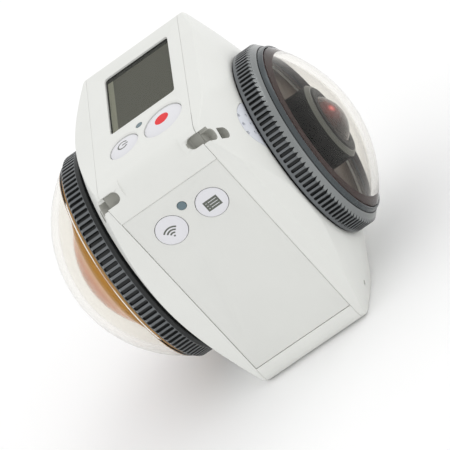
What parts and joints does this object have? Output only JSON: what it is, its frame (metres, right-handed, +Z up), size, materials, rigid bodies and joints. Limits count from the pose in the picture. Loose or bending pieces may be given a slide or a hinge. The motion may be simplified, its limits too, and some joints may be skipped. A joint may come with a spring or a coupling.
{
  "type": "360 degree camera",
  "caption": "Pocket camera in a white moulded body with a fisheye lens under a clear dome on each end, knurled dome rings, display, buttons and a battery door.",
  "frame": {"origin": "middle of the tripod socket's mouth, on the flat base", "axes": "+Z up; +Y along the lens axis towards the rear (wide) dome; -X the side with two buttons"},
  "size_m": [0.0501, 0.0675, 0.0551],
  "materials": {
    "white_body": "fine satin moulded polycarbonate, white",
    "white_panel": "satin moulded plate, a little greyer than the body",
    "ring_grey": "dark anodised, knurled",
    "black_plastic": "matt black moulding",
    "baffle_brown": "matt dark grey-brown",
    "dome_clear": "clear polished dome",
    "lens_glass": "coated lens glass",
    "rear_lens_glass": "coated lens glass with a pinkish-amber reflection",
    "tower_black": "black anodised barrel with a grey bevel",
    "tower_gold": "amber-gold plated barrel",
    "rubber_black": "black silicone seal",
    "window_glass": "clear window over the display",
    "display": "unlit display, olive grey",
    "button_grey": "satin lilac-grey cap",
    "record_red": "red inlay",
    "light_pipe": "smoky blue-grey light pipe",
    "grille_white": "white perforated disc",
    "board_green": "green circuit board",
    "part_metal": "plain steel",
    "socket_brass": "plain brass insert",
    "carrier_metal": "plain pressed aluminium",
    "cell_grey": "dark wrapped cell with no print",
    "black_gloss": "glossy black chip or card",
    "copper_coil": "etched copper coil"
  },
  "bodies": {
    "camera": {"front_shell": "white_body", "rear_shell": "white_body", "mid_frame": "white_body", "side_panel": "white_panel", "speaker_grille": "grille_white", "speaker": "black_plastic", "microphone": "part_metal", "tripod_insert": "socket_brass", "nfc_coil": "copper_coil", "lcd_window": "window_glass", "lcd_module": "display", "top_light_pipe": "light_pipe", "side_light_pipe": "light_pipe", "top_board": "board_green", "side_board": "board_green", "main_board": "board_green", "top_switches": "part_metal", "side_switches": "part_metal", "front_gasket": "rubber_black", "rear_gasket": "rubber_black", "front_baffle": "baffle_brown", "rear_baffle": "black_plastic", "front_barrel": "tower_black", "rear_barrel": "tower_gold", "front_lens": "lens_glass", "rear_lens": "rear_lens_glass", "front_lens_ring": "tower_black", "front_carrier": "carrier_metal", "rear_carrier": "carrier_metal", "front_sensor": "black_gloss", "rear_sensor": "black_gloss", "carrier_screws": "part_metal", "wifi_antenna": "copper_coil", "usb_port": "part_metal", "hdmi_port": "part_metal", "memory_card": "black_gloss", "card_socket": "part_metal", "battery": "cell_grey", "battery_tray": "black_plastic", "battery_contacts": "socket_brass", "door_hinge_pin": "part_metal"},
    "front_cover": {"front_ring": "ring_grey", "front_dome": "dome_clear", "front_seal": "rubber_black", "front_bezel": "black_plastic"},
    "rear_cover": {"rear_ring": "ring_grey", "rear_dome": "dome_clear", "rear_seal": "rubber_black", "rear_bezel": "part_metal"},
    "record_key": {"record_button": "button_grey", "record_dot": "record_red"},
    "power_key": {"power_button": "button_grey"},
    "menu_key": {"menu_button": "button_grey"},
    "wifi_key": {"wifi_button": "button_grey"},
    "door": {"side_door": "white_body", "door_gasket": "rubber_black"},
    "lock": {"door_lock": "white_panel"}
  },
  "joints": [
    {"name": "front_cover_turn", "type": "hinge", "parent": "camera", "child": "front_cover", "pos_m": [0, -0.02, 0.02764], "axis": [0, -1, 0], "range_deg": [0, 30]},
    {"name": "rear_cover_turn", "type": "hinge", "parent": "camera", "child": "rear_cover", "pos_m": [0, 0.02, 0.02764], "axis": [0, 1, 0], "range_deg": [0, 30]},
    {"name": "record_press", "type": "slide", "parent": "camera", "child": "record_key", "axis": [0, 0, -1], "range_m": [0, 0.0004], "stiffness_N_per_m": 2500, "springref_m": -0.0002},
    {"name": "power_press", "type": "slide", "parent": "camera", "child": "power_key", "axis": [0, 0, -1], "range_m": [0, 0.0004], "stiffness_N_per_m": 2500, "springref_m": -0.0002},
    {"name": "menu_press", "type": "slide", "parent": "camera", "child": "menu_key", "axis": [1, 0, 0], "range_m": [0, 0.0004], "stiffness_N_per_m": 2500, "springref_m": -0.0002},
    {"name": "wifi_press", "type": "slide", "parent": "camera", "child": "wifi_key", "axis": [1, 0, 0], "range_m": [0, 0.0004], "stiffness_N_per_m": 2500, "springref_m": -0.0002},
    {"name": "door_hinge", "type": "hinge", "parent": "camera", "child": "door", "pos_m": [0.0238, 0.0088, 0.0279], "axis": [0, 0, 1], "range_deg": [0, 90]},
    {"name": "lock_slide", "type": "slide", "parent": "door", "child": "lock", "axis": [0, -1, 0], "range_m": [0, 0.0015]}
  ]
}
